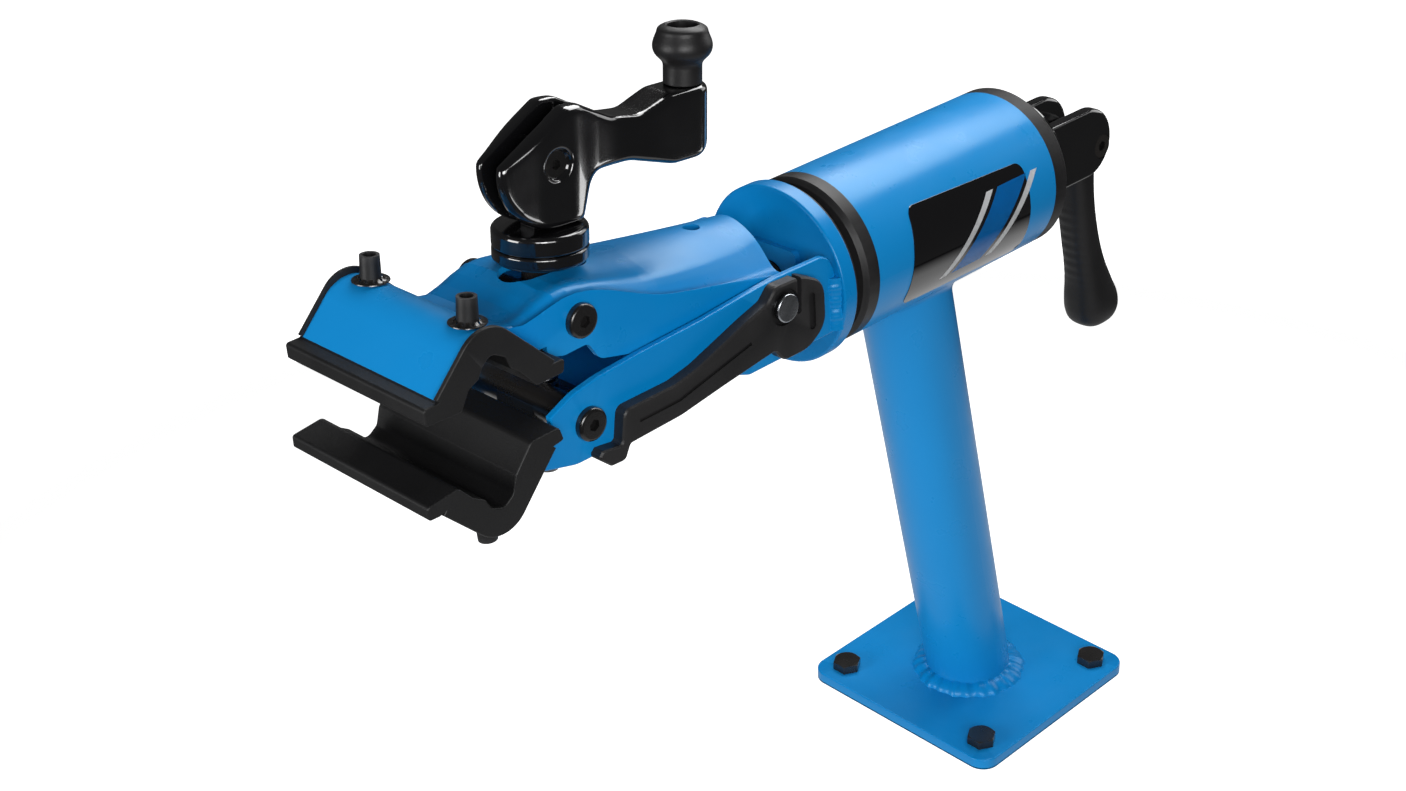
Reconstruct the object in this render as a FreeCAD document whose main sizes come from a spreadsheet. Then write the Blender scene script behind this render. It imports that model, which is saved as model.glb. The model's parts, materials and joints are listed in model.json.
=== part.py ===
"""Bench-mounted bike repair stand: leaning post, clamp head on a turning spindle, cam-lever jaw clamp.

Frame: +Z up, jaws towards -Y, X across. The origin is the centre of the base plate's lower face.
All sizes are millimetres and the driving ones live in the spreadsheet "Sizes".
"""
import FreeCAD, Part
import math
import os
import Sketcher

Vector = FreeCAD.Vector
X_AXIS = Vector(1, 0, 0)

SIZES = [
    # alias, value, meaning
    ("base_side", 130.0, "square base plate"),
    ("base_thick", 6.4, "quarter inch plate"),
    ("base_corner", 10.0, "corner radius of the plate"),
    ("stud_spacing", 100.0, "anchor bolt square"),
    ("stud_radius", 4.75, "anchor bolt shank"),
    ("stud_hole", 5.0, "hole in the plate"),
    ("stud_drop", 38.0, "shank below the plate"),
    ("bolt_flats", 14.3, "hex head across flats"),
    ("bolt_head", 5.0, "hex head height"),
    ("post_radius", 23.9, "post outside"),
    ("post_wall", 3.0, "post wall"),
    ("post_lean", 12.93, "lean towards the jaws, degrees"),
    ("barrel_rise", 315.2, "barrel axis above the bench"),
    ("barrel_radius", 41.7, "barrel outside"),
    ("barrel_wall", 5.2, "barrel wall"),
    ("barrel_front", 126.6, "barrel's front end, ahead of the origin"),
    ("barrel_rear", 5.4, "barrel's rear end, behind the origin"),
    ("run_gap", 0.05, "running clearance on a radius"),
    ("spindle_radius", 32.0, "hollow spindle outside"),
    ("spindle_bore", 26.0, "hollow spindle inside"),
    ("flange_radius", 43.85, "flange disc"),
    ("flange_back", 144.4, "flange disc's back face, ahead of the origin"),
    ("flange_thick", 8.6, "flange disc"),
    ("plate_half", 16.5, "half side of the small square plate"),
    ("plate_thick", 3.0, "small square plate"),
    ("draw_radius", 6.0, "draw rod"),
    ("sheet_thick", 3.0, "jaw sheet metal"),
    ("arm_half", 38.4, "lower jaw, outside of an arm"),
    ("jaw_half", 34.0, "upper jaw, outside of a wall"),
    ("slot_half", 10.0, "half width of the round-ended slot for the clamp rod"),
    ("trunnion_half", 27.0, "half length of the upper trunnion's bar"),
    ("jaw_plate_half", 44.0, "half length of the V plates"),
    ("cover_half", 46.0, "half length of the jaw covers"),
    ("cover_lip", 1.6, "how far the covers' end walls stand proud of the V plates"),
    ("guard_out", 44.5, "arm guard, outside"),
    ("pin_y", -192.0, "jaw pin axis"),
    ("pin_z", 326.3, "jaw pin axis"),
    ("pin_radius", 5.0, "jaw pin"),
    ("spacer_radius", 6.8, "spacer tube on the jaw pin"),
    ("spacer_half", 26.0, "half length of the spacer tube"),
    ("link_arm", 112.0, "jaw pin to either trunnion"),
    ("link_mean", 5.2, "mean angle of the two trunnions, degrees"),
    ("link_half", 11.48, "half the angle between them, degrees"),
    ("rod_offset", 8.85, "clamp rod behind the trunnion line"),
    ("rod_rise", 21.96, "disc joint above the upper trunnion"),
    ("rod_radius", 6.0, "clamp rod"),
    ("rod_tail", 103.8, "clamp rod below the disc joint"),
    ("pivot_radius", 4.0, "trunnion bolts"),
    ("disc_radius", 20.4, "bearing discs"),
    ("disc_low", 6.2, "lower disc thickness"),
    ("disc_high", 8.6, "upper disc thickness"),
    ("cam_radius", 26.95, "cam of the clamp handle"),
    ("cam_shift", 1.0, "handle pivot from the rod's axis, towards the knob"),
    ("knob_seat", 52.0, "top of the handle's end, above the disc joint"),
    ("handle_round", 2.7, "rounding of the handle's long edges"),
    ("cam_rise", 35.7, "handle pivot above the disc joint"),
    ("hinge_radius", 5.0, "handle pivot pin"),
    ("fork_half", 10.25, "half width of the handle fork"),
    ("fork_slot", 9.0, "slot of the fork"),
    ("knob_reach", 81.5, "knob axis from the rod"),
    ("lever_y", 76.0, "rear lever pivot"),
    ("lever_z", 311.0, "rear lever pivot"),
    ("ear_gap", 10.5, "half gap between the rear ears"),
    ("ear_thick", 8.0, "rear ear thickness"),
    ("ear_round", 2.4, "rounding of the ears"),
    ("peg_up", 16.5, "length of the upper pegs"),
    ("peg_down", 17.0, "length of the lower pegs"),
    ("peg_radius", 4.7, "fixing pegs of the covers"),
    ("peg_offset", 31.5, "fixing pegs from the middle"),
    ("head_roll", -2.18, "how far the head is turned about the barrel axis at rest, degrees"),
]

doc = FreeCAD.newDocument("RepairStand")
sheet = doc.addObject("Spreadsheet::Sheet", "Sizes")
for row, (alias, value, meaning) in enumerate(SIZES, start=1):
    sheet.set("A%d" % row, alias)
    sheet.set("B%d" % row, "%g" % value)
    sheet.set("C%d" % row, meaning)
    sheet.setAlias("B%d" % row, alias)
doc.recompute()

nodes = []


def size(alias):
    """A driving dimension, read from the spreadsheet."""
    return float(sheet.get(alias))


def bind(thing, prop, rule):
    """Binds a property to a formula of spreadsheet aliases."""
    words = rule.replace("(", " ( ").replace(")", " ) ").split()
    known = [alias for alias, value, meaning in SIZES]
    thing.setExpression(prop, " ".join("Sizes." + w if w in known else w for w in words))


# ---------------------------------------------------------------- outlines

def rounded(corners):
    """Closed chain of lines and tangent arcs. A corner is (a, b) or (a, b, radius)."""
    points = [Vector(c[0], c[1], 0) for c in corners]
    radii = [c[2] if len(c) > 2 else 0.0 for c in corners]
    ends = []
    curves = []
    count = len(points)
    for i in range(count):
        here = points[i]
        back = points[i - 1] - here
        ahead = points[(i + 1) % count] - here
        half = back.getAngle(ahead) / 2
        radius = radii[i]
        if radius <= 0 or half > math.radians(89.5):
            ends.append((here, here))
            curves.append(None)
            continue
        reach = min(radius / math.tan(half), 0.499 * back.Length, 0.499 * ahead.Length)
        if radius / math.tan(half) > max(back.Length, ahead.Length):
            reach = 0.499 * min(back.Length, ahead.Length)
        if len(corners[i]) > 3:
            reach = radius / math.tan(half)
        radius = reach * math.tan(half)
        back.normalize()
        ahead.normalize()
        inward = back + ahead
        inward.normalize()
        middle = here + inward * (radius / math.sin(half) - radius)
        first = here + back * reach
        last = here + ahead * reach
        ends.append((first, last))
        curves.append(Part.Arc(first, middle, last))
    chain = []
    for i in range(count):
        if curves[i] is not None:
            chain.append(curves[i])
        start = ends[i][1]
        stop = ends[(i + 1) % count][0]
        if start.distanceToPoint(stop) > 1e-6:
            chain.append(Part.LineSegment(start, stop))
    return chain


def box_corners(low_a, low_b, high_a, high_b, radius=0.0):
    corners = [(low_a, low_b), (high_a, low_b), (high_a, high_b), (low_a, high_b)]
    return [(a, b, radius) for a, b in corners]


def side_face(corners, x):
    """Face of an outline given in (y, z), standing at x."""
    wire = Part.Wire([curve.toShape() for curve in rounded(corners)])
    turn = FreeCAD.Rotation(Vector(0, 1, 0), Vector(0, 0, 1), Vector(1, 0, 0), "ZXY")
    wire.Placement = FreeCAD.Placement(Vector(x, 0, 0), turn)
    return Part.Face(wire)


def slab(corners, x_low, x_high):
    """Solid of an outline given in (y, z), from x_low to x_high."""
    return side_face(corners, x_low).extrude(Vector(x_high - x_low, 0, 0))


# ---------------------------------------------------------------- building blocks

def new_body(label):
    body = doc.addObject("PartDesign::Body", label)
    body.Label = label
    nodes.append(body)
    return body


def new_sketch(body, name, role, offset="0"):
    """Empty sketch on one of the body's own origin planes, moved along the plane's normal."""
    sketch = body.newObject("Sketcher::SketchObject", name)
    plane = [f for f in body.Origin.OriginFeatures if f.Role == role][0]
    sketch.AttachmentSupport = [(plane, "")]
    sketch.MapMode = "FlatFace"
    bind(sketch, "AttachmentOffset.Base.z", offset)
    return sketch


def add_circle(sketch, a, b, radius):
    """Circle whose radius follows a spreadsheet rule."""
    index = sketch.addGeometry(Part.Circle(Vector(a, b, 0), Vector(0, 0, 1), 10.0))
    rule = sketch.addConstraint(Sketcher.Constraint("Radius", index, 10.0))
    bind(sketch, "Constraints[%d]" % rule, radius)
    sketch.addConstraint(Sketcher.Constraint("DistanceX", -1, 1, index, 3, a) if a else
                         Sketcher.Constraint("PointOnObject", index, 3, -2))
    sketch.addConstraint(Sketcher.Constraint("DistanceY", -1, 1, index, 3, b) if b else
                         Sketcher.Constraint("PointOnObject", index, 3, -1))


def add_outline(sketch, corners):
    for curve in rounded(corners):
        sketch.addGeometry(curve)


def pad(body, name, sketch, length, both=False):
    feature = body.newObject("PartDesign::Pad", name)
    feature.Profile = sketch
    if both:
        feature.SideType = "Symmetric"
    bind(feature, "Length", length)
    return feature


def pocket(body, name, sketch, length=None):
    """Cut to both sides of the sketch: right through, or over a stated width."""
    feature = body.newObject("PartDesign::Pocket", name)
    feature.Profile = sketch
    feature.SideType = "Symmetric"
    if length is None:
        feature.Type = "ThroughAll"
    else:
        bind(feature, "Length", length)
    return feature


def turned(label, section, role="XY_Plane", offset="barrel_rise"):
    """Ring or disc turned about the sketch's vertical axis from a (radius, along) section."""
    body = new_body(label)
    sketch = new_sketch(body, label + "_section", role, offset)
    add_outline(sketch, section)
    feature = body.newObject("PartDesign::Revolution", label + "_turn")
    feature.Profile = sketch
    feature.ReferenceAxis = (sketch, ["V_Axis"])
    feature.Angle = 360
    return body


def round_edges(body, name, radius, wanted):
    """Fillets the edges of the body's tip that the test accepts."""
    doc.recompute()
    base = body.Tip
    names = ["Edge%d" % (i + 1) for i, edge in enumerate(base.Shape.Edges) if wanted(edge)]
    feature = body.newObject("PartDesign::Fillet", name)
    feature.Base = (base, names)
    feature.Radius = radius
    return feature


def new_feature(label, shape, placement=None):
    """Piece made with Part's functions from spreadsheet sizes."""
    piece = doc.addObject("Part::Feature", label)
    piece.Label = label
    piece.Shape = shape
    if placement is not None:
        piece.Placement = placement.multiply(shape.Placement)
    nodes.append(piece)
    return piece


def rod_shape(radius, start, stop):
    """Cylinder between two points."""
    way = stop - start
    return Part.makeCylinder(radius, way.Length, start, way)


def hex_prism(flats, height, base, axis, chamfer=0.6):
    """Hexagonal head with its top corners turned off."""
    corner = flats / math.sqrt(3)
    turn = FreeCAD.Rotation(Vector(0, 0, 1), axis)
    points = [Vector(corner * math.cos(math.radians(60 * i)), corner * math.sin(math.radians(60 * i)), 0)
              for i in range(7)]
    prism = Part.Face(Part.makePolygon(points)).extrude(Vector(0, 0, height))
    slope = height + (corner - flats / 2) + chamfer
    level = height - slope * 0.6
    cone = Part.makeCone(flats / 2 + slope, flats / 2, slope * 0.6, Vector(0, 0, level + 0.001))
    prism = prism.common(cone.fuse(Part.makeCylinder(corner + 1, level + 0.01)))
    prism.Placement = FreeCAD.Placement(base, turn)
    return prism


def button_bolt(radius, head_radius, head, start, axis, length, socket):
    """Button-head screw: the head's seat is at start and the shank runs against the axis."""
    shank = Part.makeCylinder(radius, length, start - axis * length, axis)
    cap = Part.makeCylinder(head_radius, head, start, axis)
    rim = [edge for edge in cap.Edges
           if isinstance(edge.Curve, Part.Circle) and (edge.Curve.Center - start).dot(axis) > head / 2]
    cap = cap.makeFillet(head * 0.45, rim)
    drive = hex_prism(socket, head, start + axis * (head * 0.4), axis)
    return cap.fuse(shank).removeSplitter().cut(drive)


# ---------------------------------------------------------------- the clamp's linkage

def trunnion(sign):
    """Centre of the upper (+1) or lower (-1) trunnion in the y-z plane."""
    angle = math.radians(size("link_mean") + sign * size("link_half"))
    reach = size("link_arm")
    return Vector(0, size("pin_y") - reach * math.cos(angle), size("pin_z") + reach * math.sin(angle))


UPPER = trunnion(1)
LOWER = trunnion(-1)
PIN = Vector(0, size("pin_y"), size("pin_z"))
TILT = math.radians(size("link_mean"))
ALONG = Vector(0, math.sin(TILT), math.cos(TILT))
ACROSS = Vector(0, math.cos(TILT), -math.sin(TILT))
DISC_JOINT = UPPER + ALONG * size("rod_rise") + ACROSS * size("rod_offset")
ROD_TURN = FreeCAD.Rotation(X_AXIS, -size("link_mean"))
ROD_PLACE = FreeCAD.Placement(DISC_JOINT, ROD_TURN)
AXLE = Vector(0, 0, size("barrel_rise"))


# ---------------------------------------------------------------- stand

def make_base_plate():
    half = size("base_side") / 2
    body = new_body("base_plate")
    sketch = new_sketch(body, "base_outline", "XY_Plane")
    add_outline(sketch, box_corners(-half, -half, half, half, size("base_corner")))
    pad(body, "base_pad", sketch, "base_thick")
    holes = new_sketch(body, "base_holes", "XY_Plane")
    for x in (-1, 1):
        for y in (-1, 1):
            add_circle(holes, x * size("stud_spacing") / 2, y * size("stud_spacing") / 2, "stud_hole")
    pocket(body, "base_drill", holes)
    round_edges(body, "base_soften", 0.8, lambda e: e.BoundBox.ZLength < 0.01 and e.BoundBox.ZMax > 6
                and not (isinstance(e.Curve, Part.Circle) and e.Curve.Radius < 6))


def make_base_bolts():
    top = size("base_thick")
    bolts = []
    for x in (-1, 1):
        for y in (-1, 1):
            seat = Vector(x * size("stud_spacing") / 2, y * size("stud_spacing") / 2, top)
            head = hex_prism(size("bolt_flats"), size("bolt_head"), seat, Vector(0, 0, 1))
            under = Vector(seat.x, seat.y, 0)
            shoulder = rod_shape(size("stud_hole") - size("run_gap"), seat, under)
            thread = rod_shape(size("stud_radius"), under, under - Vector(0, 0, size("stud_drop")))
            end = [e for e in thread.Edges if e.BoundBox.ZMax < 0.1 - size("stud_drop")]
            bolts.append(head.fuse([shoulder, thread.makeChamfer(1.0, end)]).removeSplitter())
    new_feature("base_bolts", Part.makeCompound(bolts))


def post_line():
    """Foot centre and direction of the leaning post."""
    lean = math.radians(size("post_lean"))
    return Vector(0, 0, size("base_thick")), Vector(0, -math.sin(lean), math.cos(lean))


def barrel_solid(radius):
    return rod_shape(radius, Vector(0, -size("barrel_front"), size("barrel_rise")),
                     Vector(0, size("barrel_rear"), size("barrel_rise")))


def make_post_tube():
    """Tube cut level at the plate and hollowed to the barrel's curve at the top."""
    foot, way = post_line()
    length = size("barrel_rise") - size("base_thick")
    for name, radius in (("post_skin", "post_radius"), ("post_bore", "post_radius - post_wall")):
        tube = doc.addObject("Part::Cylinder", name)
        bind(tube, "Radius", radius)
        bind(tube, "Height", "barrel_rise + 20")
        tube.Placement = FreeCAD.Placement(foot - way * 20, FreeCAD.Rotation(Vector(0, 0, 1), way))
    ground = doc.addObject("Part::Box", "post_ground")
    ground.Length = 200
    ground.Width = 200
    bind(ground, "Height", "base_thick + 60")
    ground.Placement.Base = Vector(-100, -100, -60)
    barrel = doc.addObject("Part::Cylinder", "post_saddle")
    bind(barrel, "Radius", "barrel_radius")
    barrel.Height = 400
    barrel.Placement = FreeCAD.Placement(AXLE + Vector(0, 200, 0), FreeCAD.Rotation(X_AXIS, 90))
    sky = doc.addObject("Part::Box", "post_sky")
    sky.Length = 200
    sky.Width = 300
    sky.Height = 100
    sky.Placement.Base = Vector(-100, -200, length)
    last = doc.getObject("post_skin")
    for name in ("post_bore", "post_ground", "post_saddle", "post_sky"):
        cut = doc.addObject("Part::Cut", "cut_" + name)
        cut.Base = last
        cut.Tool = doc.getObject(name)
        last = cut
    last.Label = "post_tube"
    nodes.append(last)


def make_base_weld():
    """Convex bead round the post's foot."""
    foot, way = post_line()
    outer = size("post_radius") + 6.1
    section = [Vector(18, 0, 0), Vector(outer, 0, 0), Vector(18, 0, 5.0)]
    crown = Part.Arc(section[1], Vector(outer - 1.4, 0, 3.4), Vector(outer - 4.0, 0, 5.0)).toShape()
    top = Part.LineSegment(Vector(outer - 4.0, 0, 5.0), section[2]).toShape()
    inner = Part.LineSegment(section[2], section[0]).toShape()
    bottom = Part.LineSegment(section[0], section[1]).toShape()
    ring = Part.Face(Part.Wire([bottom, crown, top, inner])).revolve(Vector(0, 0, 0), Vector(0, 0, 1), 360)
    ring.translate(foot)
    post = rod_shape(size("post_radius"), foot - way * 20, foot + way * 40)
    new_feature("base_weld", ring.cut(post))


def make_post_weld():
    """Concave bead where the post meets the barrel."""
    foot, way = post_line()
    reach = (size("barrel_rise") - size("base_thick")) / way.z
    post = rod_shape(size("post_radius"), foot + way * 200, foot + way * reach)
    barrel = barrel_solid(size("barrel_radius"))
    plain = post.fuse(barrel)
    seam = [e for e in plain.Edges if not isinstance(e.Curve, (Part.Circle, Part.Line))]
    new_feature("post_weld", plain.makeFillet(6.0, seam).cut(plain))


def make_barrel_tube():
    body = new_body("barrel_tube")
    sketch = new_sketch(body, "barrel_section", "XZ_Plane", "0 - barrel_rear")
    add_circle(sketch, 0, size("barrel_rise"), "barrel_radius")
    add_circle(sketch, 0, size("barrel_rise"), "barrel_radius - barrel_wall")
    pad(body, "barrel_pad", sketch, "barrel_front + barrel_rear")


def make_bushings():
    """Flanged sleeves that the spindle turns in, one at each end of the barrel."""
    bore = size("spindle_radius") + size("run_gap")
    sleeve = size("barrel_radius") - size("barrel_wall") - 0.05
    rim = size("barrel_radius")
    front = -size("barrel_front")
    turned("front_bushing", [(bore, front - 9.2), (rim - 2.2, front - 9.2), (rim, front - 7.0),
                             (rim, front), (sleeve, front), (sleeve, front + 26), (bore, front + 26)])
    rear = size("barrel_rear")
    turned("rear_bushing", [(bore, rear + 11.6), (rim - 2.2, rear + 11.6), (rim, rear + 8.6),
                            (rim, rear), (sleeve, rear), (sleeve, rear - 26), (bore, rear - 26)])


def make_barrel_label():
    """Thin plastic label wrapped on the barrel's side, with one wavy end."""
    radius = size("barrel_radius")
    places = [(-99, 38), (-17, 33), (-15, -1), (-13.5, -40), (-105, -33), (-102, 11)]
    corners = [(y, size("barrel_rise") + radius * math.sin(math.radians(a)), 5.0) for y, a in places]
    skin = barrel_solid(radius + 0.3).cut(barrel_solid(radius))
    new_feature("barrel_label", skin.common(slab(corners, 5, 60)))


# ---------------------------------------------------------------- turning head, barrel side

def make_spindle_parts():
    back = -size("flange_back")
    face = back - size("flange_thick")
    rim = size("flange_radius")
    draw = size("draw_radius")
    turned("flange_disc", [(draw + 0.1, back), (rim, back, 0.8), (rim, face, 1.2), (draw + 0.1, face)])
    end = size("barrel_rear") + 11.8
    outer = size("spindle_radius")
    inner = size("spindle_bore")
    turned("spindle", [(inner, back), (outer, back), (outer, end), (inner, end)])
    turned("thrust_washer", [(outer + 0.1, back), (rim - 1.3, back), (rim - 1.3, back + 1.5),
                             (outer + 0.1, back + 1.5)])
    turned("draw_rod", [(0, face - 4.6), (8.3, face - 4.6, 1.5), (8.3, face), (draw, face),
                        (draw, 52), (draw - 1, 53), (0, 53)])
    body = new_body("spindle_plate")
    sketch = new_sketch(body, "spindle_plate_outline", "XZ_Plane", "flange_back + flange_thick")
    half = size("plate_half")
    add_outline(sketch, box_corners(-half, AXLE.z - half, half, AXLE.z + half, 3.5))
    add_circle(sketch, 0, AXLE.z, "draw_radius + 2.6")
    pad(body, "spindle_plate_pad", sketch, "plate_thick")


def make_rear_cap():
    """Cap on the spindle's rear end with two ears for the lever."""
    start = size("barrel_rear") + 11.8
    gap = size("ear_gap")
    thick = size("ear_thick")
    disc = rod_shape(36, AXLE + Vector(0, start, 0), AXLE + Vector(0, start + 4.9, 0))
    ears = []
    corners = [(start + 2, AXLE.z - 18.8), (83.8, AXLE.z - 18.8, 18.8), (83.8, AXLE.z + 18.8, 18.8),
               (start + 2, AXLE.z + 18.8)]
    for side in (-1, 1):
        low = gap if side > 0 else -gap - thick
        ears.append(slab(corners, low, low + thick))
    rims = []
    for ear in ears:
        rims.append([e for e in ear.Edges if e.BoundBox.XLength < 0.01 and e.BoundBox.YMax > start + 5])
    ears = [ear.makeFillet(size("ear_round"), rim) for ear, rim in zip(ears, rims)]
    shape = disc.fuse(ears).removeSplitter()
    pivot = Vector(0, size("lever_y"), size("lever_z"))
    shape = shape.cut(rod_shape(4.05, pivot - X_AXIS * 40, pivot + X_AXIS * 40))
    shape = shape.cut(rod_shape(6.6, pivot + X_AXIS * (gap + thick - 4), pivot + X_AXIS * 40))
    shape = shape.cut(rod_shape(6.6, pivot - X_AXIS * (gap + thick - 4), pivot - X_AXIS * 40))
    shape = shape.cut(rod_shape(size("draw_radius") + 0.1, AXLE, AXLE + Vector(0, 40, 0)))
    new_feature("rear_cap", shape)
    nut = hex_prism(18, 10, AXLE + Vector(0, start + 4.9, 0), Vector(0, 1, 0))
    nut = nut.cut(rod_shape(size("draw_radius") + 0.05, AXLE, AXLE + Vector(0, 60, 0)))
    new_feature("draw_nut", nut)
    edge = gap + thick
    bolt = rod_shape(4, pivot - X_AXIS * (edge - 0.6), pivot + X_AXIS * (edge - 2.6))
    head = rod_shape(6.3, pivot + X_AXIS * (edge - 3.95), pivot + X_AXIS * (edge - 0.3))
    socket = hex_prism(5, 4, pivot + X_AXIS * (edge - 2.6), X_AXIS)
    nut_end = rod_shape(6.3, pivot - X_AXIS * (edge - 0.3), pivot - X_AXIS * (edge - 3.95))
    new_feature("lever_bolt", bolt.fuse([head, nut_end]).removeSplitter().cut(socket))


def make_rear_lever():
    """Grip lever hanging from the rear ears, thumb bulb at its end and finger waves on its front."""
    body = new_body("rear_lever")
    sketch = new_sketch(body, "lever_outline", "YZ_Plane")
    y = size("lever_y")
    z = size("lever_z")
    waves = []
    for i in range(4):
        waves.append((y + 1.5 + 0.7 * i, z - 83 + 12 * i, 2.5))
        waves.append((y - 3.6 + 0.2 * i, z - 77 + 12 * i, 4))
    corners = [(y + 10, z + 10, 9.9), (y - 10, z + 10, 9.9), (y - 7, z - 38, 20)]
    corners += list(reversed(waves))
    corners += [(y + 4.5, z - 93, 10), (y + 4.5, z - 115.5, 15), (y + 37.5, z - 115.5, 16),
                (y + 37.5, z - 86, 16), (y + 15, z - 48, 40)]
    add_outline(sketch, corners)
    pad(body, "lever_pad", sketch, "(ear_gap - 0.5) * 2", both=True)
    round_edges(body, "lever_soften", 2.0, lambda e: e.BoundBox.XLength < 0.01)
    hole = new_sketch(body, "lever_hole", "YZ_Plane")
    add_circle(hole, y, z, "pivot_radius + run_gap")
    pocket(body, "lever_drill", hole)
    return body


# ---------------------------------------------------------------- jaws

UPPER_APEX = (-355.1, 383.7)
LOWER_APEX = (-357.4, 284.7)
V_RADIUS = 16.8


def v_strip(front, apex, rear, thick, turn):
    """Bent strip of a V plate. turn is -1 when the metal lies below the outline and +1 when above."""
    def shifted(start, stop):
        way = Vector(stop[0] - start[0], stop[1] - start[1], 0)
        way.normalize()
        return Vector(-way.y, way.x, 0) * (thick * turn)
    one = shifted(front, apex)
    two = shifted(apex, rear)
    lift = thick / math.cos((one.getAngle(two)) / 2)
    return [front, (apex[0], apex[1], V_RADIUS), rear, (rear[0] + two.x, rear[1] + two.y),
            (apex[0], apex[1] + lift * turn, V_RADIUS - thick), (front[0] + one.x, front[1] + one.y)]


def upper_strip():
    return v_strip((-380.5, 358.3), UPPER_APEX, (-324.2, 352.2), size("sheet_thick"), -1)


def lower_strip():
    return v_strip((-384.5, 311.8), LOWER_APEX, (-328.5, 316.4), size("sheet_thick"), 1)


def upper_teeth():
    """Grip face of the upper cover, from rear to front."""
    return [(-318.2, 352.4, 1.5), (-319.2, 346.4, 1.5), (-333.6, 346.2, 3), (-341.3, 355.4, 2),
            (-345.2, 358.4, 2), (-347.2, 364.2, 2), (-353.8, 368.2, 4), (-358.4, 364.2, 2),
            (-361.0, 359.9, 2), (-366.0, 357.6, 2), (-370.6, 349.8, 2), (-388.0, 350.6, 1.5),
            (-388.0, 358.0, 1.5), (-381.6, 358.0, 0.5)]


def lower_teeth():
    """Grip face of the lower cover, from rear to front."""
    return [(-322.9, 317.4, 1), (-324.6, 323.6, 2), (-339.6, 323.4, 3), (-348.9, 312.4, 2),
            (-351.4, 304.6, 3), (-356.6, 300.9, 4), (-362.2, 303.2, 2), (-365.0, 308.4, 2),
            (-370.6, 311.9, 2), (-377.0, 319.0, 3), (-392.4, 317.2, 1.5), (-392.6, 311.2, 1.5),
            (-387.0, 311.0, 1)]


def peg_line(upper):
    """Foot and direction of a cover's fixing peg."""
    if upper:
        return Vector(0, -352.9, 371.5), Vector(0, 0.10, 0.995).normalize()
    return Vector(0, -356.5, 297.6), Vector(0, 0.02, -1).normalize()


def make_cover(label, outline, teeth, upper):
    """Moulded jaw cover whose end walls stand round the V plate, with two hollow pegs through it."""
    half = size("cover_half")
    lip = size("cover_lip")
    turn = -1 if upper else 1
    proud = v_strip(outline[0], outline[1], outline[2], lip, -turn)
    clear = v_strip(outline[0], outline[1], outline[2], lip + 6, -turn)
    shape = slab([outline[0]] + proud[5:2:-1] + [outline[2]] + teeth, -half, half)
    shape = shape.makeFillet(0.7, [e for e in shape.Edges if e.BoundBox.XLength < 0.01])
    foot, way = peg_line(upper)
    room = size("jaw_plate_half") + 0.1
    shape = shape.cut(slab(outline, -room, room)).cut(slab(clear, -room, room))
    peg = size("peg_radius")
    length = size("peg_up" if upper else "peg_down")
    for side in (-1, 1):
        start = foot + X_AXIS * (side * size("peg_offset"))
        stop = start + way * length
        post = Part.makeCone(peg, peg - 0.5, length, start, way)
        shape = shape.fuse(post.cut(rod_shape(peg - 1.9, stop - way * 7, stop + way)))
    new_feature(label, shape)


def make_retainers(label, upper, level):
    """Toothed push-on rings that hold the pegs."""
    foot, way = peg_line(upper)
    rings = []
    for side in (-1, 1):
        start = foot + X_AXIS * (side * size("peg_offset")) + way * level
        ring = rod_shape(7.6, start, start + way * 1.2)
        rings.append(ring.cut(rod_shape(size("peg_radius") + 0.05, start - way, start + way * 3)))
    new_feature(label, Part.makeCompound(rings))


def make_lower_jaw():
    """Sheet-metal channel whose two arms run from the flange to the lower V plate."""
    body = new_body("lower_jaw")
    face = -size("flange_back") - size("flange_thick")
    arms = [(face, 328, 6), (-158, 337.5, 8), (-190, 338.2), (-212, 337, 60), (-236, 335.2), (-272, 334),
            (-296, 332.5, 60), (-310, 330, 20), (-322.8, 324.4), (-322.8, 316.9), (-328.3, 315.9),
            (-330.2, 316.9), (-342.4, 303.4), (-331, 302.7, 10), (-311.5, 297.6, 20), (-294, 297.6, 6),
            (-286, 302.6, 6), (-222, 302.6, 6), (-210, 298, 6), (face, 298)]
    sketch = new_sketch(body, "arm_outline", "YZ_Plane")
    add_outline(sketch, arms)
    pad(body, "arm_pad", sketch, "arm_half * 2", both=True)
    inside = new_sketch(body, "arm_inside", "YZ_Plane")
    web = size("sheet_thick")
    add_outline(inside, [(face + 5, 345), (-350, 345), (-350, 290), (-280, 290), (-280, 302.6 + web),
                         (-221, 302.6 + web), (-221, 290), (face + 5, 290)])
    pocket(body, "arm_hollow", inside, "( arm_half - sheet_thick ) * 2")
    round_edges(body, "arm_soften", 0.9, lambda e: e.BoundBox.XLength < 0.01
                and abs(abs(e.BoundBox.XMin) - size("arm_half")) < 0.01 and e.BoundBox.YMax < face - 0.01)
    strip = new_sketch(body, "lower_v_outline", "YZ_Plane")
    add_outline(strip, lower_strip())
    pad(body, "lower_v_pad", strip, "jaw_plate_half * 2", both=True)
    holes = new_sketch(body, "arm_holes", "YZ_Plane")
    add_circle(holes, PIN.y, PIN.z, "pin_radius + run_gap")
    add_circle(holes, LOWER.y, LOWER.z, "pivot_radius + run_gap")
    pocket(body, "arm_drill", holes)
    pegs = new_sketch(body, "lower_peg_holes", "XY_Plane", "310")
    foot, way = peg_line(False)
    for side in (-1, 1):
        add_circle(pegs, side * size("peg_offset"), foot.y, "peg_radius + 0.3")
    cut = body.newObject("PartDesign::Pocket", "lower_peg_drill")
    cut.Profile = pegs
    cut.Length = 30


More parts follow.
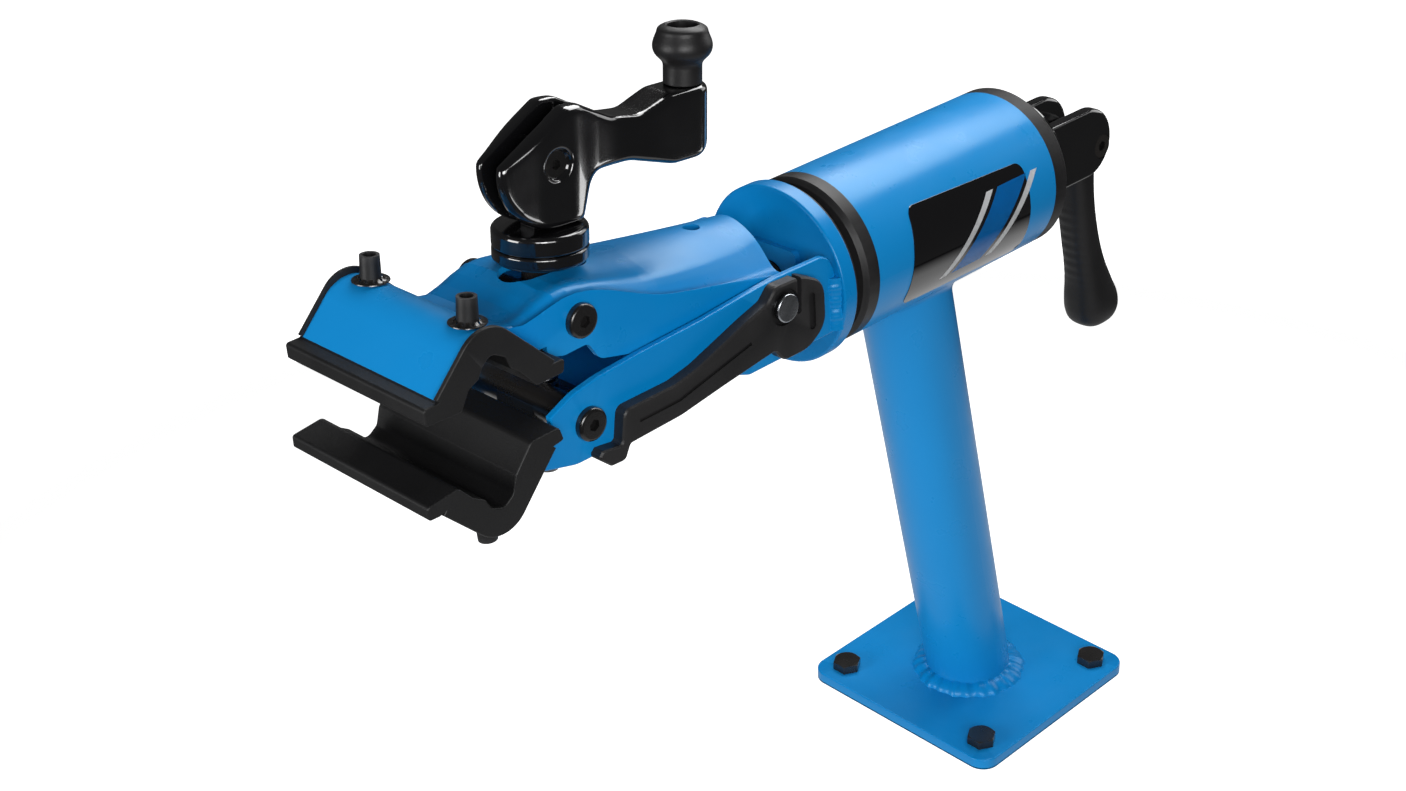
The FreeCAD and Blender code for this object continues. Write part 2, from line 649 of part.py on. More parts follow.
def make_arm_weld():
    """Bead along each arm where it meets the flange."""
    face = -size("flange_back") - size("flange_thick")
    half = size("arm_half")
    start = AXLE + Vector(0, face, 0)
    rim = rod_shape(size("flange_radius") - 0.5, start, start - Vector(0, 9, 0))
    beads = []
    for side in (-1, 1):
        points = [Vector(side * half, face, 299), Vector(side * (half + 3.5), face, 299),
                  Vector(side * half, face - 4.5, 299)]
        bead = Part.Face(Part.makePolygon(points + [points[0]])).extrude(Vector(0, 0, 27))
        beads.append(bead.common(rim))
    new_feature("arm_weld", Part.makeCompound(beads))


def make_pin_parts():
    reach = size("guard_out")
    pin = rod_shape(size("pin_radius"), PIN - X_AXIS * (reach + 1.2), PIN + X_AXIS * reach)
    head = rod_shape(6.6, PIN + X_AXIS * reach, PIN + X_AXIS * (reach + 2.2))
    rim = [e for e in head.Edges if isinstance(e.Curve, Part.Circle) and e.Curve.Center.x > reach + 1]
    new_feature("jaw_pin", pin.fuse(head.makeFillet(0.7, rim)).removeSplitter())
    clip = rod_shape(6.6, PIN - X_AXIS * (reach + 1.0), PIN - X_AXIS * (reach + 0.05))
    clip = clip.cut(rod_shape(size("pin_radius") + 0.02, PIN - X_AXIS * 60, PIN))
    new_feature("pin_clip", clip)
    inner = size("spacer_half")
    spacer = rod_shape(size("spacer_radius"), PIN - X_AXIS * inner, PIN + X_AXIS * inner)
    spacer = spacer.cut(rod_shape(size("pin_radius") + 0.05, PIN - X_AXIS * 60, PIN + X_AXIS * 60))
    new_feature("pin_spacer", spacer)


def make_arm_guard():
    """Moulded guard snapped round the arms, with a web under the channel."""
    low = size("arm_half") + 0.1
    high = size("guard_out")
    outline = [(-305, 299.2, 2), (-298, 293, 3), (-290, 292.6, 3), (-286.6, 299, 2), (-257, 299.8, 30),
               (-231, 303.4, 30), (-199, 307.4, 4), (-194, 300.5, 6), (-178, 300.5, 14), (-166.2, 308, 12),
               (-166.2, 330, 12), (-180, 336.8, 10), (-197, 337.6, 6), (-203, 331.6, 6), (-216, 328, 40),
               (-246, 318, 30), (-259, 315.6, 20), (-288.6, 315.6, 4), (-291.4, 300.4, 2), (-302, 302, 1)]
    shape = None
    for side in (-1, 1):
        wall = slab(outline, low, high) if side > 0 else slab(outline, -high, -low)
        outer = [e for e in wall.Edges if e.BoundBox.XLength < 0.01 and abs(e.BoundBox.XMin) > high - 0.1]
        wall = wall.makeChamfer(0.8, outer)
        reach = X_AXIS * (side * 60)
        wall = wall.cut(rod_shape(8.6, PIN + X_AXIS * (side * (high - 2)), PIN + reach))
        relief = slab([(-184.6, 320, 1), (-182.0, 320, 1), (-180.6, 345), (-183.2, 345)],
                      *sorted((side * low, side * 60)))
        groove = slab([(-177.0, 309, 1.9), (-173.0, 309, 1.9), (-173.0, 327, 1.9), (-177.0, 327, 1.9)],
                      *sorted((side * (high - 1.2), side * 60)))
        line = slab([(-281, 308.4), (-258, 308.6), (-214, 318.0), (-213.6, 316.4), (-257.6, 307.0),
                     (-281, 306.8)], *sorted((side * (high - 0.8), side * 60)))
        wall = wall.cut(relief).cut(groove).cut(line)
        shape = wall if shape is None else shape.fuse(wall)
    web = slab(box_corners(-275, 299.9, -240, 302.5), -low - 1, low + 1)
    shape = shape.fuse(web).removeSplitter()
    shape = shape.cut(rod_shape(size("pin_radius") + 0.05, PIN - X_AXIS * 60, PIN + X_AXIS * 60))
    new_feature("arm_guard", shape)


JAW_SECTIONS = [
    # y, then (x, z) from the ridge out to the wall
    (-181, [(0, 354.5), (10, 351.9), (17, 347.5), (23, 341), (30, 335.5), (34, 331)]),
    (-248, [(0, 362.4), (10, 361.6), (20, 358.8), (28, 353.5), (32.4, 348), (34, 340)]),
    (-304, [(0, 370.8), (10, 370.8), (20, 370.4), (29, 368.6), (33, 364.5), (34, 357)]),
    (-330, [(0, 363.6), (10, 363.6), (20, 363.4), (29, 362), (33, 358.6), (34, 352)]),
    (-342, [(0, 369.0), (10, 369.0), (20, 368.8), (29, 367.4), (33, 364.0), (34, 357)]),
]


def jaw_section(y, points, inset):
    """Arched section of the upper jaw: a smooth crown on two upright walls."""
    floor = 300.0
    half = [Vector(x, y, z) for x, z in points]
    if inset:
        moved = []
        for i, here in enumerate(half):
            before = half[i - 1] if i else Vector(-half[1].x, y, half[1].z)
            after = half[i + 1] if i + 1 < len(half) else here - Vector(0, 0, 5)
            way = after - before
            way.normalize()
            moved.append(here + Vector(way.z, 0, -way.x) * inset)
        half = moved
    crown = [Vector(-v.x, v.y, v.z) for v in reversed(half[1:])] + half
    curve = Part.BSplineCurve()
    down = Vector(0, 0, -1)
    curve.interpolate(Points=crown, InitialTangent=down * -1, FinalTangent=down)
    low_right = Vector(half[-1].x, y, floor)
    low_left = Vector(-half[-1].x, y, floor)
    edges = [curve.toShape(), Part.makeLine(crown[-1], low_right), Part.makeLine(low_right, low_left),
             Part.makeLine(low_left, crown[0])]
    return Part.Wire(edges)


def jaw_points(y):
    """Crown points at any y: each coordinate eases between the given sections without overshoot."""
    table = JAW_SECTIONS
    y = min(max(y, table[-1][0]), table[0][0])
    i = 0
    while y < table[i + 1][0]:
        i += 1
    (y0, near), (y1, far) = table[i], table[i + 1]
    run = y1 - y0
    t = (y - y0) / run
    points = []
    for k in range(len(near)):
        here = []
        for axis in (0, 1):
            slopes = []
            for j in range(len(table) - 1):
                rise = table[j + 1][1][k][axis] - table[j][1][k][axis]
                slopes.append(rise / (table[j + 1][0] - table[j][0]))
            ends = []
            for j in (i, i + 1):
                before = slopes[max(j - 1, 0)]
                after = slopes[min(j, len(slopes) - 1)]
                ends.append(2 * before * after / (before + after) if before * after > 0 else 0.0)
            a, b = near[k][axis], far[k][axis]
            here.append(a * (1 + 2 * t) * (1 - t) ** 2 + b * t * t * (3 - 2 * t)
                        + run * (ends[0] * t * (1 - t) ** 2 - ends[1] * t * t * (1 - t)))
        points.append(tuple(here))
    return points


def make_upper_jaw():
    """Pressed channel, hinged on the jaw pin, that carries the upper V plate."""
    thick = size("sheet_thick")
    stations = [-342 + 161 * i / 23 for i in range(24)]
    skin = Part.makeLoft([jaw_section(y, jaw_points(y), 0) for y in stations], True, True)
    core = Part.makeLoft([jaw_section(y, jaw_points(y), thick) for y in stations + [-175]], True, True)
    shell = skin.cut(core)
    keep = [(-181, 360), (-181, 314.8, 11.2), (-203.2, 314.8, 11.2), (-216, 318.4, 10), (-268, 331.4, 30),
            (-290.5, 337.2, 6), (-296, 346.4, 4), (-309, 346, 6), (-317.4, 348.6, 3), (-317.4, 353.4),
            (-323.6, 353.4), (-325.6, 351.4), (-342, 368.2), (-342, 390), (-181, 390)]
    shell = shell.common(slab(keep, -50, 50))
    strip = slab(upper_strip(), -size("jaw_plate_half"), size("jaw_plate_half"))
    shape = shell.fuse(strip)
    slot = size("slot_half")
    window = Part.makeBox(slot * 2, 22, 40, Vector(-slot, -300, 355))
    for y in (-300, -278):
        window = window.fuse(Part.makeCylinder(slot, 40, Vector(0, y, 355)))
    shape = shape.cut(window)
    shape = shape.cut(rod_shape(4, Vector(0, -204, 345), Vector(0, -204, 365)))
    for centre, radius in ((PIN, size("pin_radius")), (UPPER, size("pivot_radius"))):
        hole = radius + size("run_gap")
        shape = shape.cut(rod_shape(hole, centre - X_AXIS * 60, centre + X_AXIS * 60))
    foot, way = peg_line(True)
    for side in (-1, 1):
        start = foot + X_AXIS * (side * size("peg_offset"))
        shape = shape.cut(rod_shape(size("peg_radius") + 0.3, start, start + way * 20))
    new_feature("upper_jaw", shape)


# ---------------------------------------------------------------- clamp screw and handle

def rod_frame_cylinder(radius, low, high):
    """Cylinder on the clamp rod's axis, measured from the disc joint."""
    return rod_shape(radius, DISC_JOINT + ALONG * low, DISC_JOINT + ALONG * high)


def trunnion_block(centre, bar, reach, boss_low, boss_high):
    """Cross bar between two walls with a boss, behind its axis, for the clamp rod."""
    shape = rod_shape(bar, centre - X_AXIS * reach, centre + X_AXIS * reach)
    boss = slab(box_corners(-8, boss_low, size("rod_offset") + 9, boss_high, 2), -12, 12)
    boss.Placement = FreeCAD.Placement(centre, ROD_TURN)
    return shape.fuse(boss)


def make_trunnions():
    block = trunnion_block(UPPER, 6.0, size("trunnion_half"), -8, 3.5)
    top = -size("disc_low")
    block = block.fuse(rod_frame_cylinder(8.4, -size("rod_rise"), top)).removeSplitter()
    bore = size("rod_radius") + size("run_gap")
    block = block.cut(rod_frame_cylinder(bore, -60, 20))
    wide = size("arm_half") - size("sheet_thick") - 0.2
    nut = trunnion_block(LOWER, 8.0, wide, -10, 3).removeSplitter()
    nut = nut.cut(rod_frame_cylinder(bore, -120, 0))
    for centre in (UPPER, LOWER):
        tap = rod_shape(size("pivot_radius") + 0.02, centre - X_AXIS * 60, centre - X_AXIS * 17)
        tap = tap.fuse(rod_shape(size("pivot_radius") + 0.02, centre + X_AXIS * 17, centre + X_AXIS * 60))
        block = block.cut(tap)
        nut = nut.cut(tap)
    new_feature("upper_trunnion", block)
    new_feature("lower_nut_block", nut)
    for label, centre, face in (("upper_pivot_bolts", UPPER, size("jaw_half")),
                                ("lower_pivot_bolts", LOWER, size("arm_half"))):
        bolts = []
        for side in (-1, 1):
            axis = X_AXIS * side
            seat = centre + axis * (face + 0.1)
            bolts.append(button_bolt(size("pivot_radius"), 7.5, 3.4, seat, axis, face - 18, 4.8))
        new_feature(label, Part.makeCompound(bolts))


def make_rod_and_discs():
    low = size("disc_low")
    high = size("disc_high")
    bore = size("rod_radius") + size("run_gap")
    rim = size("disc_radius")
    for label, section in (
            ("lower_disc", [(bore, -low), (rim, -low, 1.6), (rim, -0.1, 1.2), (bore, -0.1)]),
            ("upper_disc", [(bore, 0.1), (rim, 0.1, 1.2), (rim, high - 0.05, 2.0), (bore, high - 0.05)])):
        body = turned(label, section, "XZ_Plane", "0")
        body.Placement = ROD_PLACE
    rod = rod_frame_cylinder(size("rod_radius"), -size("rod_tail"), high)
    tip = [e for e in rod.Edges if isinstance(e.Curve, Part.Circle) and e.Curve.Center.z < 320]
    rod = rod.makeChamfer(1.2, tip)
    rise = size("cam_rise")
    half = size("fork_slot") / 2 - 0.15
    shift = size("cam_shift")
    eye = 7.5
    tongue = slab([(shift - eye, high), (shift + eye, high), (shift + eye, rise + eye, eye - 0.1),
                   (shift - eye, rise + eye, eye - 0.1)], -half, half)
    tongue.Placement = ROD_PLACE
    shape = rod.fuse(tongue).removeSplitter()
    pivot = DISC_JOINT + ALONG * rise + ACROSS * shift
    hole = size("hinge_radius") + size("run_gap")
    shape = shape.cut(rod_shape(hole, pivot - X_AXIS * 30, pivot + X_AXIS * 30))
    new_feature("clamp_rod", shape)


def make_clamp_handle():
    """Cam lever: forked cam at the rod, waisted arm, and a round boss for the knob."""
    cam = size("cam_radius")
    rise = size("cam_rise")
    low = rise - cam
    reach = size("knob_reach") + 0.5
    half = size("fork_half")
    end = reach + half
    shift = size("cam_shift")
    back = shift - cam
    top = size("knob_seat")
    outline = [(back, low, cam - 0.01, 1), (back, 38.8, 4), (6.5, 58.4, 4), (14.5, 58.2, 8), (35, 47.8, 16),
               (50, 46.0, 16), (67, top - 0.4, 12), (end, top, 3), (end, 20.6, 12, 1), (68, 20.4, 14),
               (44, 27.2, 20), (22, 27.2, 9), (15.6, low, 3)]
    plan = Part.makeBox(reach + 60, half * 2, 80, Vector(-60, -half, 0))
    plan = plan.fuse(Part.makeCylinder(half, 80, Vector(reach, 0, 0))).removeSplitter()
    plan.Placement = FreeCAD.Placement(Vector(0, 0, 0), FreeCAD.Rotation(Vector(0, 0, 1), 90))
    shape = slab(outline, -13, 13).common(plan)
    sides = [e for e in shape.Edges if e.BoundBox.XLength < 0.01 and abs(abs(e.BoundBox.XMin) - half) < 0.01
             and e.BoundBox.YMin < reach - 0.01]
    shape = shape.makeFillet(size("handle_round"), sides)
    slot = size("fork_slot") / 2
    shape = shape.cut(slab([(-40, -10), (20, -10), (20, 70), (-40, 70)], -slot, slot))
    pivot = Vector(0, shift, rise)
    hinge = size("hinge_radius")
    shape = shape.cut(rod_shape(hinge + size("run_gap"), pivot - X_AXIS * 30, pivot + X_AXIS * 30))
    floor = half - 1.6
    for side in (-1, 1):
        shape = shape.cut(rod_shape(7.0, pivot + X_AXIS * (side * floor), pivot + X_AXIS * (side * 30)))
    shape = shape.cut(Part.makeCylinder(4.05, 60, Vector(0, size("knob_reach"), 32)))
    new_feature("clamp_handle", shape, ROD_PLACE)
    pin = rod_shape(hinge, pivot - X_AXIS * (half - 1), pivot + X_AXIS * (half - 1))
    head = button_bolt(3.0, 6.0, 1.8, pivot + X_AXIS * (floor + 0.05), X_AXIS, 4, 4)
    tail = button_bolt(3.0, 6.0, 1.8, pivot - X_AXIS * (floor + 0.05), X_AXIS * -1, 4, 4)
    socket = hex_prism(4, 6, pivot + X_AXIS * (half - 2.6), X_AXIS)
    new_feature("handle_pivot", pin.fuse([head, tail]).removeSplitter().cut(socket), ROD_PLACE)


def make_knob():
    """Ball knob on a straight neck, which turns on a shoulder screw."""
    base = size("knob_seat") + 0.1
    neck = 8.5
    waist = base + 7.5
    belly = base + 17
    crown = base + 25.4
    profile = [(neck, waist), (9.3, base + 9.9), (11.8, base + 12.6), (12.95, belly), (11.2, base + 22.2),
               (7.4, crown)]
    ball = Part.BSplineCurve()
    ball.interpolate(Points=[Vector(r, 0, z) for r, z in profile],
                     InitialTangent=Vector(0, 0, 1), FinalTangent=Vector(-1, 0, 0.35))
    chain = [(7.4, crown), (6.6, crown - 0.5), (6.6, belly), (4.1, belly), (4.1, base), (neck - 0.4, base),
             (neck, base + 0.4), (neck, waist)]
    edges = [ball.toShape(), Part.makePolygon([Vector(r, 0, z) for r, z in chain])]
    knob = Part.Face(Part.Wire(edges)).revolve(Vector(0, 0, 0), Vector(0, 0, 1), 360)
    knob.translate(Vector(0, size("knob_reach"), 0))
    new_feature("handle_knob", knob, ROD_PLACE)
    foot = Vector(0, size("knob_reach"), 33)
    screw = Part.makeCylinder(4, base - 15.5, foot)
    head = Part.makeCylinder(6.3, 4.6, Vector(0, size("knob_reach"), belly + 0.1))
    socket = hex_prism(5, 4, Vector(0, size("knob_reach"), base + 19), Vector(0, 0, 1))
    new_feature("knob_screw", screw.fuse(head).removeSplitter().cut(socket), ROD_PLACE)


# ---------------------------------------------------------------- the whole stand

def turn_head():
    """Turns everything but the fixed stand about the barrel axis, as the head is set at rest."""
    fixed = ("base_plate", "base_bolts", "post_tube", "base_weld", "post_weld", "barrel_tube",
             "front_bushing", "rear_bushing", "barrel_label")
    turn = FreeCAD.Placement(Vector(0, 0, 0), FreeCAD.Rotation(Vector(0, 1, 0), size("head_roll")), AXLE)
    doc.recompute()
    for node in nodes:
        if node.Label not in fixed:
            node.Placement = turn.multiply(node.Placement)


def check_and_write():
    doc.recompute()
    for item in doc.Objects:
        bad = [state for state in item.State if state in ("Invalid", "Error")]
        if bad:
            raise RuntimeError("%s failed: %s" % (item.Label, item.State))
    os.makedirs("parts", exist_ok=True)
    for node in nodes:
        shape = node.Shape
        if shape.isNull() or not shape.isValid() or shape.Volume <= 0:
            raise RuntimeError("%s has no valid solid" % node.Label)
        shape.exportStep(os.path.join("parts", node.Label + ".step"))
        print("%-20s %9.1f mm3  solids %d" % (node.Label, shape.Volume, len(shape.Solids)))


make_base_plate()
make_base_bolts()
make_post_tube()
make_base_weld()
make_post_weld()
make_barrel_tube()
make_bushings()
make_barrel_label()
make_spindle_parts()
make_rear_cap()
make_rear_lever()
make_lower_jaw()
make_arm_weld()
make_cover("lower_cover", lower_strip(), lower_teeth(), False)
make_retainers("lower_retainers", False, 5.8)
make_pin_parts()
make_arm_guard()
make_upper_jaw()
make_cover("upper_cover", upper_strip(), upper_teeth(), True)
make_retainers("upper_retainers", True, 5.5)
make_trunnions()
make_rod_and_discs()
make_clamp_handle()
make_knob()
turn_head()
check_and_write()
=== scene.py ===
"""Looks of the bench-mount bike repair stand: materials, lights, floor, camera and fine surface detail."""
import json
import math
import bmesh
import bpy
from mathutils import Matrix, Vector


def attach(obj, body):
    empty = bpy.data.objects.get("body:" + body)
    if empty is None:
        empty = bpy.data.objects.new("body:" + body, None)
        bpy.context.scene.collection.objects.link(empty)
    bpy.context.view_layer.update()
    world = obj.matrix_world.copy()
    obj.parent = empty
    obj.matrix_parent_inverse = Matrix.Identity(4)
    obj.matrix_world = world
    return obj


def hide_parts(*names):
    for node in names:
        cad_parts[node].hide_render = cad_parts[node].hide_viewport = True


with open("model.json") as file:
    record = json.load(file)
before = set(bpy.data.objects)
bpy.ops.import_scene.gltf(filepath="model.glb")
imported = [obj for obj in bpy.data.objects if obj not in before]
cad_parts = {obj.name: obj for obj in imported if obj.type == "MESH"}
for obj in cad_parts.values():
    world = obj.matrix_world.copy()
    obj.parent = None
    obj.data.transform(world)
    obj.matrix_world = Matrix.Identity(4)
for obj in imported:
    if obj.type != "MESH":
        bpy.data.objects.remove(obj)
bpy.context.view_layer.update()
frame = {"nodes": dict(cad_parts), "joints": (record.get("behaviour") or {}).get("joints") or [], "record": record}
NODES = frame["nodes"]
MM = 0.001
TAU = 2 * math.pi


def add_object(name, data):
    """A new object at the origin, in the scene."""
    made = bpy.data.objects.new(name, data)
    bpy.context.scene.collection.objects.link(made)
    return made


def mesh_object(name, bm, material):
    """A new object made of a bmesh, which is freed."""
    mesh = bpy.data.meshes.new(name)
    bm.to_mesh(mesh)
    bm.free()
    mesh.materials.append(material)
    return add_object(name, mesh)


# ---------------------------------------------------------------- material helpers

SHADER = "Principled BSDF"
TEXTURE_DEPTH = 0.0002


def new_material(name):
    mat = bpy.data.materials.new(name)
    mat.use_nodes = True
    return mat


def set_inputs(node, values):
    for name, value in values.items():
        node.inputs[name].default_value = value


def noise(tree, coords, scale, detail):
    node = tree.nodes.new("ShaderNodeTexNoise")
    set_inputs(node, {"Scale": scale, "Detail": detail})
    tree.links.new(coords, node.inputs["Vector"])
    return node.outputs["Fac"]


def remap(tree, value, low, high, from_low=0.3, from_high=0.7):
    """Value moved from one range to another, and held within it."""
    node = tree.nodes.new("ShaderNodeMapRange")
    tree.links.new(value, node.inputs["Value"])
    set_inputs(node, {"From Min": from_low, "From Max": from_high, "To Min": low, "To Max": high})
    return node.outputs["Result"]


def mix(tree, factor, first, second):
    """Colour from first to second. Each of them is a colour or another node's output."""
    node = tree.nodes.new("ShaderNodeMix")
    node.data_type = "RGBA"
    tree.links.new(factor, node.inputs["Factor"])
    for letter, value in (("A", first), ("B", second)):
        target = [entry for entry in node.inputs if entry.name == letter and entry.type == "RGBA"][0]
        if isinstance(value, tuple):
            target.default_value = (*value, 1)
        else:
            tree.links.new(value, target)
    return [entry for entry in node.outputs if entry.type == "RGBA"][0]


def add(tree, first, second, gain):
    """first + gain * second, for heights."""
    node = tree.nodes.new("ShaderNodeMath")
    node.operation = "MULTIPLY_ADD"
    tree.links.new(second, node.inputs[0])
    node.inputs[1].default_value = gain
    tree.links.new(first, node.inputs[2])
    return node.outputs[0]


def bump(tree, shader, height, strength):
    node = tree.nodes.new("ShaderNodeBump")
    set_inputs(node, {"Strength": strength, "Distance": TEXTURE_DEPTH})
    tree.links.new(height, node.inputs["Height"])
    tree.links.new(node.outputs["Normal"], shader.inputs["Normal"])


# ---------------------------------------------------------------- camera

CAMERA_SPOT = Vector((612.73, -776.45, 745.15)) * MM
CAMERA_AZIMUTH = math.radians(46.871)
CAMERA_TILT = math.radians(29.438)
CAMERA_ROLL = math.radians(-2.493)
CAMERA_LENS = 53.373
CAMERA_SENSOR = 36.0
CAMERA_REACH = 20.0


def make_camera():
    data = bpy.data.cameras.new("camera")
    data.lens = CAMERA_LENS
    data.sensor_width = CAMERA_SENSOR
    data.clip_end = CAMERA_REACH
    camera = add_object("camera", data)
    right = Vector((math.cos(CAMERA_AZIMUTH), math.sin(CAMERA_AZIMUTH), 0))
    back = Vector((math.sin(CAMERA_AZIMUTH) * math.cos(CAMERA_TILT),
                   -math.cos(CAMERA_AZIMUTH) * math.cos(CAMERA_TILT), math.sin(CAMERA_TILT)))
    up = back.cross(right)
    across = math.cos(CAMERA_ROLL) * right + math.sin(CAMERA_ROLL) * up
    rise = -math.sin(CAMERA_ROLL) * right + math.cos(CAMERA_ROLL) * up
    turn = Matrix((across, rise, back)).transposed().to_4x4()
    camera.matrix_world = Matrix.Translation(CAMERA_SPOT) @ turn
    bpy.context.scene.camera = camera


# ---------------------------------------------------------------- studio: lights, floor and backdrop

SKY_LIGHT = 0.05
LIGHTS = [
    # name, place, aim, width, height, watts
    ("key", (1.40, -0.80, 0.76), (0, -0.15, 0.28), 0.9, 0.7, 12),
    ("top", (-0.17, 0.23, 0.88), (0, -0.2, 0.36), 0.7, 0.45, 6.3),
    ("front", (-0.3, -1.6, 0.5), (0, -0.2, 0.25), 0.7, 0.7, 14),
    ("head", (0.60, -0.72, 0.62), (0, -0.28, 0.34), 0.35, 0.3, 2.9),
    ("rear", (0.3, 1.3, 0.7), (0, -0.1, 0.3), 0.8, 0.8, 4),
]
HANDLE_CARDS = [
    # the same, for two cards that lie at the bench and face up
    ("card_back", (0.47, 0.48, 0.01), (0.47, 0.48, 1), 0.18, 0.26, 0.8),
    ("card_right", (0.85, -0.14, 0.01), (0.85, -0.14, 1), 0.26, 0.28, 1.2),
]
FLOOR_REACH = 6.0
FLOOR_GLOW = 1.0
PAPER_SPOT = (0, -0.1, 0.001)
PAPER_RADIUS = 0.62
PAPER_GLOW = 0.6
PAPER_FADE_START = 0.42
PAPER_FADE_END = 0.60
BACKDROP_RADIUS = 9.0
BACKDROP_GLOW = 1.0


def make_light(name, spot, target, width, height, power):
    """Rectangular soft box, which the camera doesn't see."""
    data = bpy.data.lights.new(name, "AREA")
    data.shape = "RECTANGLE"
    data.size = width
    data.size_y = height
    data.energy = power
    light = add_object(name, data)
    light.visible_camera = False
    light.location = spot
    light.rotation_euler = (Vector(target) - Vector(spot)).to_track_quat("-Z", "Y").to_euler()
    return light


def light_handle(handle):
    """White cards near the floor that only the polished handle reflects."""
    only = bpy.data.collections.new("handle_only")
    only.objects.link(handle)
    for card in HANDLE_CARDS:
        light = make_light(*card)
        light.light_linking.receiver_collection = only


def glow_material(name, glow, base=(0, 0, 0), rough=0.5, specular=0.5):
    """Material of a studio surface, which gives off white light."""
    mat = new_material(name)
    set_inputs(mat.node_tree.nodes[SHADER], {
        "Base Color": (*base, 1), "Roughness": rough, "Specular IOR Level": specular,
        "Emission Color": (1, 1, 1, 1), "Emission Strength": glow})
    return mat


def make_floor():
    """Pale floor at the bench's height, which reflections and bounced light leave out."""
    bm = bmesh.new()
    bmesh.ops.create_grid(bm, x_segments=1, y_segments=1, size=FLOOR_REACH)
    material = glow_material("floor_paper", FLOOR_GLOW, base=(0.8, 0.8, 0.8), rough=0.9, specular=0.1)
    floor = mesh_object("floor", bm, material)
    floor.visible_glossy = False
    floor.visible_diffuse = False


def make_paper():
    """Round sheet under the stand that glows in reflections and fades out towards its rim."""
    bm = bmesh.new()
    bmesh.ops.create_circle(bm, cap_ends=True, radius=PAPER_RADIUS, segments=96)
    material = glow_material("paper_glow", PAPER_GLOW, specular=0)
    tree = material.node_tree
    distance = tree.nodes.new("ShaderNodeVectorMath")
    distance.operation = "LENGTH"
    tree.links.new(tree.nodes.new("ShaderNodeTexCoord").outputs["Object"], distance.inputs[0])
    glow = remap(tree, distance.outputs["Value"], PAPER_GLOW, 0, PAPER_FADE_START, PAPER_FADE_END)
    tree.links.new(glow, tree.nodes[SHADER].inputs["Emission Strength"])
    paper = mesh_object("paper", bm, material)
    paper.location = PAPER_SPOT
    paper.visible_camera = False


def make_backdrop():
    """White surround that only the camera sees, so that low views have no horizon."""
    bm = bmesh.new()
    bmesh.ops.create_uvsphere(bm, u_segments=48, v_segments=24, radius=BACKDROP_RADIUS)
    backdrop = mesh_object("backdrop", bm, glow_material("backdrop_white", BACKDROP_GLOW))
    for ray in ("diffuse", "glossy", "transmission", "volume_scatter", "shadow"):
        setattr(backdrop, "visible_" + ray, False)


def make_studio():
    """White studio: a dim sky, a pale floor, a glowing sheet under the stand and soft boxes."""
    world = bpy.data.worlds.new("studio")
    bpy.context.scene.world = world
    world.use_nodes = True
    set_inputs(world.node_tree.nodes["Background"], {"Color": (1, 1, 1, 1), "Strength": SKY_LIGHT})
    make_floor()
    make_paper()
    make_backdrop()
    for light in LIGHTS:
        make_light(*light)
    view = bpy.context.scene.view_settings
    view.view_transform = "Standard"
    view.look = "None"


# ---------------------------------------------------------------- finishes

BROAD_DETAIL = 4
FINE_DETAIL = 2
TONE_SCALE = 18
GLOSS_SCALE = 60
GRAIN_SCALE = 4000
# Lighter colour on sharp convex edges: wear on the black parts, a painted edge highlight on the blue paint.
WEAR_AND_HIGHLIGHT_AMOUNT = 0.5
WEAR_AND_HIGHLIGHT_START = 0.53
WEAR_AND_HIGHLIGHT_FULL = 0.60


def edge_wear_and_highlight(tree):
    """Mask that is 0 except on sharp convex edges, where wear goes and, on the blue paint, a painted edge
    highlight.
    """
    geometry = tree.nodes.new("ShaderNodeNewGeometry")
    return remap(tree, geometry.outputs["Pointiness"], 0, WEAR_AND_HIGHLIGHT_AMOUNT, WEAR_AND_HIGHLIGHT_START, WEAR_AND_HIGHLIGHT_FULL)


def coated(name, light, dark, rough, peel_scale, peel, spread=0.05, wear_and_highlight=None, metallic=0.0,
           specular=0.5, tint=(1, 1, 1), coat=0.0, coat_rough=0.12, grain=0.0):
    """Paint, plastic or metal: two close shades, uneven gloss, fine surface texture and lighter sharp edges, which
    are wear and, on the blue paint, a painted highlight.
    """
    mat = new_material(name)
    tree = mat.node_tree
    shader = tree.nodes[SHADER]
    coords = tree.nodes.new("ShaderNodeTexCoord").outputs["Object"]
    tone = remap(tree, noise(tree, coords, TONE_SCALE, BROAD_DETAIL), 0, 1)
    colour = mix(tree, tone, dark, light)
    # lighter colour on sharp edges: wear, and on the blue paint a painted highlight
    if wear_and_highlight is not None:
        colour = mix(tree, edge_wear_and_highlight(tree), colour, wear_and_highlight)
    tree.links.new(colour, shader.inputs["Base Color"])
    gloss = remap(tree, noise(tree, coords, GLOSS_SCALE, BROAD_DETAIL), rough - spread, rough + spread)
    tree.links.new(gloss, shader.inputs["Roughness"])
    set_inputs(shader, {
        "Metallic": metallic, "Specular IOR Level": specular, "Specular Tint": (*tint, 1),
        "Coat Weight": coat, "Coat Roughness": coat_rough})
    height = noise(tree, coords, peel_scale, FINE_DETAIL)
    if grain:
        height = add(tree, height, noise(tree, coords, GRAIN_SCALE, FINE_DETAIL), grain)
    bump(tree, shader, height, peel)
    return mat


def printed(name, light, dark, rough):
    """Glossy clear film over a printed colour."""
    return coated(name, light, dark, rough, peel_scale=300, peel=0.01, spread=0.02, coat=1.0, coat_rough=0.03)


